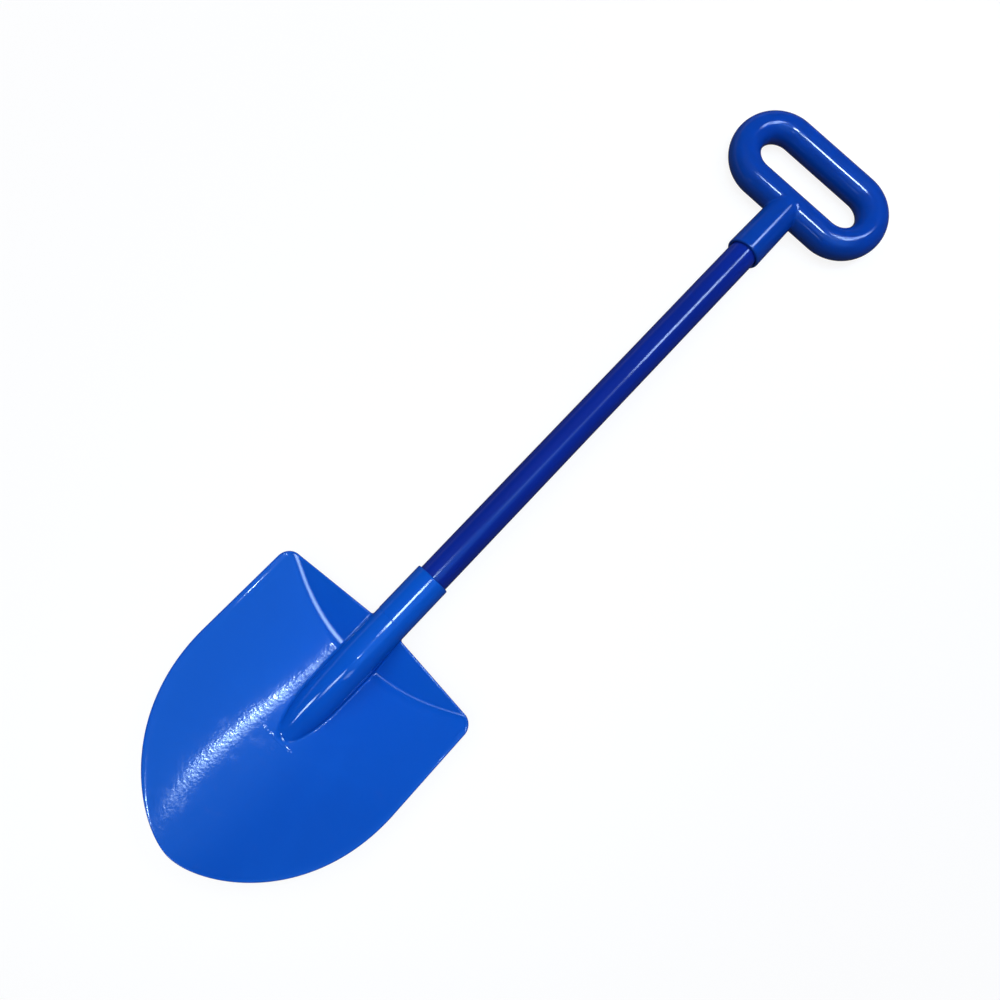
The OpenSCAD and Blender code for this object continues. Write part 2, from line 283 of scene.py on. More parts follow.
class Outline:
    """Signed distance to a closed outline, kept on a grid and read with cubic weights."""

    def __init__(self, points: Array, pitch: float = 1.0, margin: float = 6.0) -> None:
        """Fills the grid.

        Args:
            points: corners of the outline in order, one row each.
            pitch: distance between grid points.
            margin: how far the grid goes past the outline.
        """
        self.pitch = pitch
        self.low = points.min(axis=0) - margin
        count = np.ceil((points.max(axis=0) + margin - self.low) / pitch).astype(int)
        x = self.low[0] + pitch * np.arange(count[0])[:, None]
        y = self.low[1] + pitch * np.arange(count[1])[None, :]
        nearest = np.full((x + y).shape, np.inf)
        inside = np.zeros(nearest.shape, dtype=bool)
        for start, end in zip(points, np.roll(points, -1, axis=0), strict=True):
            step = end - start
            along = ((x - start[0]) * step[0] + (y - start[1]) * step[1]) / (step @ step)
            along = np.clip(along, 0, 1)
            gap = np.hypot(x - start[0] - along * step[0], y - start[1] - along * step[1])
            nearest = np.minimum(nearest, gap)
            if step[1]:
                crosses = (start[1] > y) != (end[1] > y)
                inside ^= crosses & (x < start[0] + (y - start[1]) * step[0] / step[1])
        self.grid = np.where(inside, -nearest, nearest)

    @staticmethod
    def weights(t: Array) -> list[Array]:
        """Weights of the four grid points round a place between the middle two."""
        return [
            ((2 - t) * t - 1) * t / 2,
            ((3 * t - 5) * t * t + 2) / 2,
            ((4 - 3 * t) * t + 1) * t / 2,
            (t - 1) * t * t / 2,
        ]

    def distance(self, x: Array, y: Array) -> Array:
        """Distance to the outline, negative inside.

        Args:
            x: across the shaft.
            y: along the shaft.

        Returns:
            The signed distance.
        """
        u = np.clip((x - self.low[0]) / self.pitch, 1, self.grid.shape[0] - 3 - TINY)
        v = np.clip((y - self.low[1]) / self.pitch, 1, self.grid.shape[1] - 3 - TINY)
        i = np.floor(u).astype(int)
        j = np.floor(v).astype(int)
        total = 0.0
        for a, wu in enumerate(self.weights(u - i)):
            for b, wv in enumerate(self.weights(v - j)):
                total = total + wu * wv * self.grid[i + a - 1, j + b - 1]
        return total


@dataclass(frozen=True)
class Skin:
    """Turns a field into an even, closed mesh whose corners and normals lie on it."""

    low: Triple
    high: Triple
    pitch: float
    triangles: int
    reach: float = 0.02
    rounds: int = 3

    def net(self, body: Body) -> tuple[Array, Array]:
        """Puts one corner in each cell that the surface crosses and joins neighbours.

        Args:
            body: the field, negative inside.

        Returns:
            Corners, and quads that turn outwards.
        """
        axes = [
            np.arange(a, b + self.pitch, self.pitch, dtype=np.float32)
            for a, b in zip(self.low, self.high, strict=True)
        ]
        values = body(axes[0][:, None, None], axes[1][None, :, None], axes[2][None, None, :])
        values = np.asarray(values, dtype=np.float32)
        inside = values < 0
        cells = tuple(n - 1 for n in values.shape)
        corners = [(i, j, k) for i in (0, 1) for j in (0, 1) for k in (0, 1)]
        count = np.zeros(cells, dtype=np.int8)
        for i, j, k in corners:
            count += inside[i : i + cells[0], j : j + cells[1], k : k + cells[2]]
        where = np.argwhere((count > 0) & (count < len(corners)))
        at = {c: values[tuple((where + c).T)] for c in corners}
        total = np.zeros(where.shape)
        hits = np.zeros(len(where))
        for a in corners:
            for axis in range(3):
                if a[axis]:
                    continue
                b = tuple(1 if n == axis else a[n] for n in range(3))
                crossed = (at[a] < 0) != (at[b] < 0)
                share = at[a] / np.where(crossed, at[a] - at[b], 1)
                place = np.array(a) + share[:, None] * (np.array(b) - a)
                total += np.where(crossed[:, None], place, 0)
                hits += crossed
        points = (where + total / hits[:, None]) * self.pitch + self.low
        number = np.full(cells, -1, dtype=np.int64)
        number[tuple(where.T)] = np.arange(len(where))
        return points, self._quads(inside, number)

    @staticmethod
    def _quads(inside: Array, number: Array) -> Array:
        """Joins the four cells round each grid edge that the surface crosses.

        Args:
            inside: which grid points lie inside.
            number: each cell's corner, or -1.

        Returns:
            The quads.
        """
        quads = []
        for axis in range(3):
            lower = [slice(1, -1)] * 3
            upper = [slice(1, -1)] * 3
            lower[axis] = slice(0, -1)
            upper[axis] = slice(1, None)
            a, b = inside[tuple(lower)], inside[tuple(upper)]
            p = np.argwhere(a != b)
            start = np.ones(3, dtype=int)
            start[axis] = 0
            p = p + start
            filled = inside[tuple(p.T)]
            one = np.roll((0, 1, 0), axis)
            two = np.roll((0, 0, 1), axis)
            ring = [number[tuple((p - s).T)] for s in (one * 0, one, one + two, two)]
            quad = np.stack(ring, axis=1)
            quads.append(np.where(filled[:, None], quad, quad[:, ::-1]))
        return np.concatenate(quads)

    def slope(self, body: Body, points: Array) -> Array:
        """Gradient of the field.

        Args:
            body: the field.
            points: places, one row each.

        Returns:
            One gradient for each place.
        """
        result = np.empty_like(points)
        for axis in range(3):
            step = np.zeros(3)
            step[axis] = self.reach
            ahead = body(*(points + step).T)
            result[:, axis] = (ahead - body(*(points - step).T)) / (2 * self.reach)
        return result

    def settle(self, body: Body, points: Array, times: int) -> Array:
        """Moves corners onto the surface.

        Args:
            body: the field.
            points: corners.
            times: how often the move is made.

        Returns:
            The moved corners.
        """
        for _ in range(times):
            slope = self.slope(body, points)
            size = np.maximum((slope**2).sum(axis=1), TINY)
            step = np.clip(body(*points.T) / size, -self.pitch, self.pitch)
            points = points - step[:, None] * slope
        return points

    def even(self, body: Body, points: Array, quads: Array) -> Array:
        """Draws corners towards their neighbours' middle, then back onto the surface.

        Args:
            body: the field.
            points: corners.
            quads: faces.

        Returns:
            The moved corners.
        """
        pairs = np.concatenate([quads[:, [k, (k + 1) % 4]] for k in range(4)])
        count = len(points)
        degree = np.maximum(np.bincount(pairs[:, 0], minlength=count), 1)
        for _ in range(self.rounds):
            near = points[pairs[:, 1]].T
            sums = [np.bincount(pairs[:, 0], weights=row, minlength=count) for row in near]
            points = (points + np.stack(sums, axis=1) / degree[:, None]) / 2
            points = self.settle(body, points, 1)
        return points

    def mesh(self, name: str, body: Body, lay: Matrix) -> bpy.types.Mesh:
        """Builds the finished mesh in the frame.

        Args:
            name: name of the mesh.
            body: the field, negative inside.
            lay: matrix from millimetres along the shaft to the frame.

        Returns:
            The mesh, smooth, with normals of the field.
        """
        points, quads = self.net(body)
        points = self.even(body, points, quads)
        dense = bpy.data.meshes.new(name + "_dense")
        dense.from_pydata(points.tolist(), [], quads.tolist())
        carrier = bpy.data.objects.new(name + "_dense", dense)
        bpy.context.scene.collection.objects.link(carrier)
        thin = carrier.modifiers.new("Thin", "DECIMATE")
        thin.ratio = min(1.0, self.triangles / (2 * len(quads)))
        thin.use_collapse_triangulate = True
        mesh = plain_mesh(carrier, name)
        flat = np.empty(3 * len(mesh.vertices))
        mesh.vertices.foreach_get("co", flat)
        points = self.settle(body, flat.reshape(-1, 3), 2)
        normals = self.slope(body, points)
        mesh.vertices.foreach_set("co", points.ravel())
        mesh.transform(lay)
        turn = np.array(lay.to_3x3().normalized())
        normals = normals @ turn.T
        normals /= np.maximum(np.linalg.norm(normals, axis=1), TINY)[:, None]
        mesh.shade_smooth()
        mesh.normals_split_custom_set_from_vertices(normals.tolist())
        log.info("%s: %d quads thinned to %d faces", name, len(quads), len(mesh.polygons))
        return mesh


def plain_mesh(carrier: bpy.types.Object, name: str) -> bpy.types.Mesh:
    """Applies an object's modifiers and deletes the object and its own mesh.

    Args:
        carrier: object with modifiers.
        name: name of the new mesh.

    Returns:
        The evaluated mesh.
    """
    graph = bpy.context.evaluated_depsgraph_get()
    mesh = bpy.data.meshes.new_from_object(carrier.evaluated_get(graph))
    start = carrier.data
    bpy.data.objects.remove(carrier)
    bpy.data.meshes.remove(start)
    mesh.name = name
    return mesh


@dataclass(frozen=True)
class Blade:
    """The moulded blade: dished pan, back wall, socket and the hollow, ribbed nose.

    Lengths are in millimetres and slopes in degrees. Shares and powers are plain numbers.
    """

    shaft: ShaftSizes
    screw: ScrewSizes
    width: float = 155.6
    shoulder_width: float = 154.4
    length: float = 175.5
    side: float = 76.0
    side_reach: float = 67.0
    tip_reach: float = 24.0
    shoulder_slope: float = 4.3
    corner: float = 9.0
    wall: float = 2.2
    depth: float = 16.0
    back_wall: float = 27.5
    rim_drop: float = 2.0
    socket_wall: float = 1.45
    socket: float = 39.0
    collar: float = 34.4
    collar_step: float = 0.2
    tail: float = 9.0
    lip: float = 0.8
    nose: float = 92.5
    nose_round: float = 36.0
    nose_fall: float = 68.0
    nose_wall: float = 1.8
    nose_steepest: float = 4.0
    draft: float = 4.0
    rib_pitch: float = 20.0
    rib_inset: float = 1.5
    screw_in: float = 20.0
    dish_share: float = 0.95
    dish_power: float = 2.0
    dish_soft_share: float = 0.12
    ridge_power: float = 1.4
    rim_round: float = 1.05
    crease_blend: float = 2.5
    foot_blend: float = 1.6
    rib_blend: float = 0.6
    edge_blend: float = 0.35
    witness_blend: float = 0.5
    gate_in: float = 96.8
    gate_radius: float = 4.2
    gate_ripple: float = 2.4
    gate_height: float = 0.012
    outline_steps: int = 160
    corner_steps: int = 20
    edge_steps: int = 3200
    pitch: float = 0.55
    triangles: int = 192000
    shape: Outline = field(init=False)
    edge: Array = field(init=False)

    def __post_init__(self) -> None:
        """Works out the outline once."""
        x = self.shoulder_width / 2 - self.corner
        y = self.shoulder(self.shoulder_width / 2) - self.corner
        angle = np.radians(np.linspace(90, 0, self.corner_steps))
        corner = self.corner * np.stack([np.cos(angle), np.sin(angle)], axis=1) + (x, y)
        t = np.linspace(0, 1, self.outline_steps)
        tip = np.stack([self.tip_x(t), self.tip_y(t)], axis=1)
        right = np.concatenate([[[0, self.y_shoulder]], corner, tip])
        left = right[-2:0:-1] * (-1, 1)
        object.__setattr__(self, "shape", Outline(np.concatenate([right, left])))
        fine = np.linspace(1, 0, self.edge_steps)
        object.__setattr__(self, "edge", np.stack([self.tip_y(fine), self.tip_x(fine)]))

    @property
    def socket_radius(self) -> float:
        """Outer radius of the collar."""
        return self.shaft.bore + self.socket_wall

    @property
    def nose_radius(self) -> float:
        """Outer radius of the nose, behind the fine step."""
        return self.socket_radius - self.collar_step

    @property
    def y_shoulder(self) -> float:
        """Place of the shoulder line."""
        return -self.socket

    @property
    def y_tip(self) -> float:
        """Place of the blade's tip."""
        return self.y_shoulder - self.length

    @property
    def y_wide(self) -> float:
        """Place of the greatest width."""
        return self.y_shoulder - self.side

    @property
    def y_crease(self) -> float:
        """Place of the foot of the back wall, at the middle."""
        return self.y_shoulder - self.back_wall

    @property
    def y_nose(self) -> float:
        """Place of the nose's tip."""
        return self.y_shoulder - self.nose

    @property
    def y_stop(self) -> float:
        """Place of the rib that stops the shaft."""
        return -self.shaft.in_blade - self.shaft.end_gap

    @property
    def screw_place(self) -> Vector:
        """Middle of the face of the screw's head."""
        return Vector((0, -self.screw_in, -self.socket_radius))

    def tip_x(self, t: Array) -> Array:
        """Half width of the outline from the widest place to the tip."""
        return curve(self.width / 2, self.width / 2, self.tip_reach, 0, t)

    def tip_y(self, t: Array) -> Array:
        """Place of the outline from the widest place to the tip."""
        return curve(self.y_wide, self.y_wide - self.side_reach, self.y_tip, self.y_tip, t)

    def shoulder(self, x: Array) -> Array:
        """Place of the shoulder line beside the middle."""
        return self.y_shoulder - np.abs(x) * math.tan(math.radians(self.shoulder_slope))

    def half_width(self, y: Array) -> Array:
        """Half width of the outline at a place along the shaft."""
        spread = (self.width - self.shoulder_width) / 2 / self.side
        side = self.shoulder_width / 2 + spread * (self.y_shoulder - y)
        return np.where(y > self.y_wide, side, np.interp(y, self.edge[0], self.edge[1]))

    def dish(self, share: Array) -> Array:
        """Share of the depth across the pan, one in the middle and none on the rim."""
        soft = self.dish_soft_share
        level = 1 - (np.abs(share) / self.dish_share) ** self.dish_power
        full = (1 + math.hypot(1, soft)) / 2
        return (level + np.hypot(level, soft)) / 2 / full

    def run(self, y: Array) -> Array:
        """Share of the depth along the pan, one at the crease and none at the tip."""
        share = np.maximum(0, self.y_crease - y) / (self.y_crease - self.y_tip)
        return np.maximum(0, 1 - share**2)

    def top(self, x: Array, y: Array) -> Array:
        """Height of the blade's upper face, with the crease fillet and the gate mark.

        Args:
            x: across the shaft.
            y: along the shaft.

        Returns:
            The height over the shaft's axis.
        """
        wide = np.maximum(self.half_width(y), self.wall)
        pan = -self.rim_drop - self.depth * self.run(y) * self.dish(x / wide)
        steep = self.depth / self.back_wall
        back = -self.rim_drop - steep * (self.shoulder(x) - y)
        away = np.hypot(x, y - self.y_shoulder + self.gate_in)
        ring = np.cos(2 * math.pi * away / self.gate_ripple)
        ring = ring * np.exp(-((away / self.gate_radius) ** 2))
        return smooth_max(pan, back, self.crease_blend) + self.gate_height * ring

    def plate(self, x: Array, y: Array, z: Array) -> Array:
        """Field of the pan and back wall, with its rounded rim.

        Args:
            x: across the shaft.
            y: along the shaft.
            z: height over the axis.

        Returns:
            The field, negative inside.
        """
        reach = self.wall / 20
        top = self.top(x, y)
        lean_x = (self.top(x + reach, y) - self.top(x - reach, y)) / (2 * reach)
        lean_y = (self.top(x, y + reach) - self.top(x, y - reach)) / (2 * reach)
        flat = 1 / np.sqrt(1 + lean_x**2 + lean_y**2)
        face = (np.abs(z - top + self.wall / 2) - self.wall / 2) * flat
        return round_edge(face, self.shape.distance(x, y), self.rim_round)

    def floor(self, y: Array) -> Array:
        """Height of the upper face on the middle line, without fillet."""
        wall = self.depth * np.maximum(0, self.y_shoulder - y) / self.back_wall
        return -self.rim_drop - np.minimum(wall, self.depth * self.run(y))

    def nose_body(self, x: Array, y: Array, z: Array, inset: float, foot: Array) -> Array:
        """Field of the nose: an arch on sloping sides that sinks into the pan.

        Args:
            x: across the shaft.
            y: along the shaft.
            z: height over the axis.
            inset: how far the nose is drawn in.
            foot: height of its foot.

        Returns:
            The field, negative inside.
        """
        start = self.y_nose + self.nose_round
        fall = min(self.y_nose + self.nose_fall, self.y_stop)
        low = self.floor(self.y_nose) - self.wall / 2
        full = self.nose_radius - low
        high = full - inset

        def half_at(place: Array) -> Array:
            """Half width at a place."""
            share = np.maximum(0, start - place) / (self.nose_round - inset)
            return (self.nose_radius - inset) * np.sqrt(np.maximum(TINY**2, 1 - share**2))

        def ridge_at(place: Array) -> Array:
            """Height of the ridge at a place."""
            share = np.maximum(0, fall - place) / (fall - self.y_nose) * full / high
            return low + high * np.maximum(0, 1 - share**self.ridge_power)

        reach = self.wall / 100
        half, ridge = half_at(y), ridge_at(y)
        base = np.maximum(ridge - half, foot)
        rise = np.maximum(ridge - base, TINY)
        half_slope = (half_at(y + reach) - half_at(y - reach)) / (2 * reach)
        ridge_slope = (ridge_at(y + reach) - ridge_at(y - reach)) / (2 * reach)
        base_slope = np.where(ridge - half > foot, ridge_slope - half_slope, 0)
        u = x / half
        v = (z - base) / rise
        size = np.maximum(np.hypot(u, v), TINY)
        across = np.maximum(np.hypot(u / half, v / rise), TINY)
        upward = base_slope * size + v * (ridge_slope - base_slope)
        along = u * u * half_slope / half + v * upward / rise
        along = np.minimum(np.abs(along) / size / across, self.nose_steepest)
        arch = size * (size - 1) / across / np.hypot(1, along)
        lean = math.tan(math.radians(self.draft))
        along = np.minimum(np.abs(half_slope + base_slope * lean), self.nose_steepest)
        side = (np.abs(x) - half - (base - z) * lean) / np.sqrt(1 + lean**2 + along**2)
        body = np.where(z > base, arch, side)
        return np.maximum(np.maximum(body, foot - z), self.y_nose + inset - y)

    def ribs(self, x: Array, y: Array, z: Array) -> Array:
        """Field of the ribs behind the nose: saddle, stop, cross ribs and a long rib.

        Args:
            x: across the shaft.
            y: along the shaft.
            z: height over the axis.

        Returns:
            The field, negative inside.
        """
        half = self.nose_wall / 2
        hollow = self.y_shoulder - self.tail + self.collar_step
        seat = self.nose_wall / 3
        places = [(hollow + self.y_stop) / 2, self.y_stop - half + seat]
        place = self.y_stop - self.rib_pitch
        while place > self.y_nose + self.rib_pitch / 2:
            places.append(place)
            place -= self.rib_pitch
        slabs = np.maximum(np.abs(x), y - self.y_stop) - half
        for place in places:
            slabs = smooth_min(slabs, np.abs(y - place) - half, self.rib_blend)
        foot = self.floor(y) - half
        slabs = smooth_max(slabs, self.nose_body(x, y, z, half, foot), self.edge_blend)
        lowest = -self.rim_drop - self.depth + self.rib_inset
        return smooth_max(slabs, lowest - z, self.edge_blend)

    def body(self, x: Array, y: Array, z: Array) -> Array:
        """Field of the whole blade.

        Args:
            x: across the shaft.
            y: along the shaft.
            z: height over the axis.

        Returns:
            The field, negative inside.
        """
        radial = np.hypot(x, z)
        start = 1 - self.collar
        floor = self.floor(y) - self.wall / 2
        nose = np.maximum(self.nose_body(x, y, z, 0, floor), y - start)
        body = smooth_min(self.plate(x, y, z), nose, self.foot_blend)
        deep = -self.rim_drop - 2 * self.depth
        hollow = self.nose_body(x, y, z, self.nose_wall, deep)
        tail_end = self.y_shoulder - self.tail
        hollow = np.maximum(hollow, y - tail_end - self.collar_step)
        body = cut(body, hollow, self.rib_blend)
        body = smooth_min(body, self.ribs(x, y, z), self.rib_blend)
        tail = rod(radial, y, tail_end, start, self.nose_radius - self.collar_step)
        body = smooth_min(body, tail, self.edge_blend)
        ring = round_edge(radial - self.socket_radius, y, self.lip)
        ring = smooth_max(ring, -self.collar - y, self.witness_blend)
        body = smooth_min(body, ring, self.collar_step / 2)
        bore = rod(radial, y, self.y_stop, self.socket, self.shaft.bore)
        body = cut(body, bore, self.edge_blend)
        hole = self.screw.hole(x, y, z, -self.screw_in, self.socket_radius)
        return cut(body, hole, self.edge_blend / 2)

    def build(self, lay: Matrix) -> bpy.types.Mesh:
        """Meshes the blade.

        Args:
            lay: matrix from millimetres along the shaft to the frame.

        Returns:
            The mesh in the frame.
        """
        room = 2 * self.pitch
        deepest = -self.rim_drop - self.depth - self.wall
        skin = Skin(
            low=(-self.width / 2 - room, self.y_tip - room, deepest - room),
            high=(self.width / 2 + room, room, self.socket_radius + room),
            pitch=self.pitch * 1,
            triangles=self.triangles,
        )
        return skin.mesh("blade_moulding", self.body, lay)

    def dress(self, pose: "RestPose") -> bpy.types.Material:
        """Gives the blade its finish."""
        return MouldedPolypropylene(
            "injection_moulded_polypropylene_blade",
            "#0853bb",
            "#0e59c2",
            "#074eb2",
            self.y_shoulder - self.gate_in,
            roughness=0.07,
            peel=1.6,
            peel_height=0.016,
        ).material(pose)


@dataclass(frozen=True)
class Grip:
    """The moulded loop grip: a hollow ring-shaped bar on a tapered socket."""

    shaft: ShaftSizes
    screw: ScrewSizes
    loop: float = 123.4
    depth: float = 66.0
    bar: float = 21.3
    bar_wall: float = 1.9
    socket: float = 37.6
    mouth_wall: float = 1.85
    top_wall: float = 1.25
    lip: float = 1.0
    vent: float = 10.0
    screw_in: float = 17.0
    joint_blend: float = 1.4
    edge_blend: float = 0.35
    pitch: float = 0.6
    triangles: int = 150000

    @property
    def radius(self) -> float:
        """Radius of the bar."""
        return self.bar / 2

    @property
    def ring(self) -> float:
        """Radius of the half rings, to the middle of the bar."""
        return self.depth / 2 - self.radius

    @property
    def near(self) -> float:
        """Place of the near bar's middle."""
        return self.shaft.shown + self.socket + self.radius

    @property
    def far(self) -> float:
        """Place of the far bar's middle."""
        return self.near + self.depth - self.bar

    @property
    def ball(self) -> float:
        """Place of the rounded end of the socket, on the near bar."""
        return self.near - self.radius / 2

    @property
    def screw_place(self) -> Vector:
        """Middle of the face of the screw's head."""
        radius = float(self.socket_radius(self.screw_in))
        return Vector((0, self.shaft.shown + self.screw_in, -radius))

    def socket_radius(self, along: Array) -> Array:
        """Radius of the tapered socket at a distance from its mouth."""
        mouth = self.shaft.bore + self.mouth_wall
        top = self.shaft.bore + self.top_wall
        length = self.ball - self.shaft.shown - self.lip
        return mouth + (top - mouth) * np.clip((along - self.lip) / length, 0, 1)

    def body(self, x: Array, y: Array, z: Array) -> Array:
        """Field of the whole grip.

        Args:
            x: across the shaft.
            y: along the shaft.
            z: height over the axis.

        Returns:
            The field, negative inside.
        """
        radial = np.hypot(x, z)
        straight = self.loop / 2 - self.depth / 2
        middle = (self.near + self.far) / 2
        past = np.hypot(np.maximum(np.abs(x) - straight, 0), y - middle) - self.ring
        from_bar = np.hypot(past, z)
        along = y - self.shaft.shown
        cone = round_edge(radial - self.socket_radius(along), -along, self.lip)
        top = self.shaft.bore + self.top_wall
        ball = np.sqrt(radial**2 + (y - self.ball) ** 2) - top
        neck = np.where(y < self.ball, cone, ball)
        body = smooth_min(from_bar - self.radius, neck, self.joint_blend)
        body = cut(body, from_bar - self.radius + self.bar_wall, self.edge_blend)
        end = self.shaft.shown + self.shaft.in_grip + self.shaft.end_gap
        bore = rod(radial, y, self.shaft.shown - self.socket, end, self.shaft.bore)
        vent = rod(radial, y, self.shaft.shown, self.near, self.vent / 2)
        body = cut(body, np.minimum(bore, vent), self.edge_blend)
        place = self.shaft.shown + self.screw_in
        hole = self.screw.hole(x, y, z, place, float(self.socket_radius(self.screw_in)))
        return cut(body, hole, self.edge_blend / 2)

    def build(self, lay: Matrix) -> bpy.types.Mesh:
        """Meshes the grip.

        Args:
            lay: matrix from millimetres along the shaft to the frame.

        Returns:
            The mesh in the frame.
        """
        room = 2 * self.pitch
        thick = self.shaft.bore + self.mouth_wall + room
        skin = Skin(
            low=(-self.loop / 2 - room, self.shaft.shown - room, -thick),
            high=(self.loop / 2 + room, self.far + self.radius + room, thick),
            pitch=self.pitch * 1,
            triangles=self.triangles,
        )
        return skin.mesh("grip_moulding", self.body, lay)

    def dress(self, pose: "RestPose") -> bpy.types.Material:
        """Gives the grip its finish."""
        return MouldedPolypropylene(
            "injection_moulded_polypropylene_grip",
            "#063d9a",
            "#0943a1",
            "#05388e",
            self.near,
            roughness=0.12,
            parting_line=0.35,
            peel_height=0.004,
            wave_height=0.01,
        ).material(pose)


class ShapeTree(NodeMaker):
    """A Geometry Nodes tree with named inputs, for one family of pieces."""

    def __init__(self, name: str, sizes: dict[str, float], counts: dict[str, int]) -> None:
        """Starts the tree.

        Args:
            name: name of the tree.
            sizes: named lengths, which become inputs.
            counts: named whole numbers, which become inputs.
        """
        super().__init__(bpy.data.node_groups.new(name, "GeometryNodeTree"))
        self.values: dict[str, object] = {**sizes, **counts}
        sockets = self.tree.interface
        for key in self.values:
            kind = "NodeSocketFloat" if key in sizes else "NodeSocketInt"
            sockets.new_socket(name=key, in_out="INPUT", socket_type=kind)
        sockets.new_socket(name="Finish", in_out="INPUT", socket_type="NodeSocketMaterial")
        sockets.new_socket(name="Shape", in_out="OUTPUT", socket_type="NodeSocketGeometry")
        self.given = self.add(Kind.GROUP_INPUT)

    def size(self, name: str) -> bpy.types.NodeSocket:
        """Socket of a named input."""
        return self.given.outputs[name]

    def piece(
        self, name: str, shape: bpy.types.Node, finish: bpy.types.Material
    ) -> bpy.types.Object:
        """Ends the tree and carries it on a new object.

        Args:
            name: name of the object.
            shape: node that gives the finished shape.
            finish: material of the piece.

        Returns:
            An object with the tree as its modifier.
        """
        real = self.add(Kind.REALIZE, shape)
        dressed = self.add(Kind.SET_MATERIAL, real, named={"Material": self.size("Finish")})
        self.add(Kind.GROUP_OUTPUT, dressed)
        carrier = bpy.data.objects.new(name, bpy.data.meshes.new(name + "_start"))
        bpy.context.scene.collection.objects.link(carrier)
        modifier = carrier.modifiers.new("Shape", "NODES")
        modifier.node_group = self.tree
        for item in self.tree.interface.items_tree:
            if item.in_out == "INPUT":
                modifier[item.identifier] = self.values.get(item.name, finish)
        return carrier


@dataclass(frozen=True)
class FilmSleeve:
    """The coloured film on the tube: a thin sleeve with a slight, long ripple."""

    shaft: ShaftSizes
    ripple: float = 0.03
    ripple_length: float = 45.0
    sides: int = 144
    rings: int = 240
    seed: int = 7

    def build(self, lay: Matrix, finish: bpy.types.Material) -> bpy.types.Mesh:
        """Makes the sleeve.

        Args:
            lay: matrix from millimetres along the shaft to the frame.
            finish: material of the sleeve.

        Returns:
            The mesh in the frame.
        """
        name = "film_sleeve"
        shape = ShapeTree(
            name,
            {
                "Radius": self.shaft.radius - self.ripple,
                "Length": self.shaft.in_blade + self.shaft.shown + self.shaft.in_grip,
                "Start": -self.shaft.in_blade,
                "Ripple": self.ripple,
                "Ripple Length": self.ripple_length,
            },
            {"Sides": self.sides, "Rings": self.rings, "Seed": self.seed},
        )
        radius, length, start = (shape.size(key) for key in ("Radius", "Length", "Start"))
        sides = {"Vertices": shape.size("Sides"), "Side Segments": shape.size("Rings")}
        sleeve = shape.add(
            Kind.CYLINDER, named=sides | {"Radius": radius, "Depth": length}, fill_type="NONE"
        )
        half = shape.add(Kind.MATH, length, 0.5, operation="MULTIPLY")
        middle = shape.add(Kind.MATH, start, half, operation="ADD")
        place = shape.add(Kind.COMBINE, named={"Y": middle})
        along = {"Translation": place, "Rotation": (-math.pi / 2, 0, 0)}
        laid = shape.add(Kind.MOVE, sleeve, named=along)
        scale = shape.add(Kind.MATH, 1, shape.size("Ripple Length"), operation="DIVIDE")
        noise = shape.add(
            Kind.NOISE,
            named={"W": shape.size("Seed"), "Scale": scale, "Detail": 1.0},
            noise_dimensions="4D",
        )
        centred = shape.add(Kind.MATH, noise, 0.5, operation="SUBTRACT")
        doubled = shape.add(Kind.MATH, centred, 2, operation="MULTIPLY")
        height = shape.add(Kind.MATH, doubled, shape.size("Ripple"), operation="MULTIPLY")
        normal = shape.add(Kind.NORMAL)
        offset = shape.add(Kind.VECTOR_MATH, normal, named={"Scale": height}, operation="SCALE")
        rippled = shape.add(Kind.SET_POSITION, laid, named={"Offset": offset})
        carrier = shape.piece(name, shape.add(Kind.SHADE_SMOOTH, rippled), finish)
        wall = carrier.modifiers.new("Wall", "SOLIDIFY")
        wall.thickness = self.shaft.film
        wall.offset = -1
        mesh = plain_mesh(carrier, name)
        mesh.transform(lay)
        return mesh

    def dress(self, pose: "RestPose") -> bpy.types.Material:
        """Gives the sleeve its finish."""
        return ShrunkFilm().material(pose)


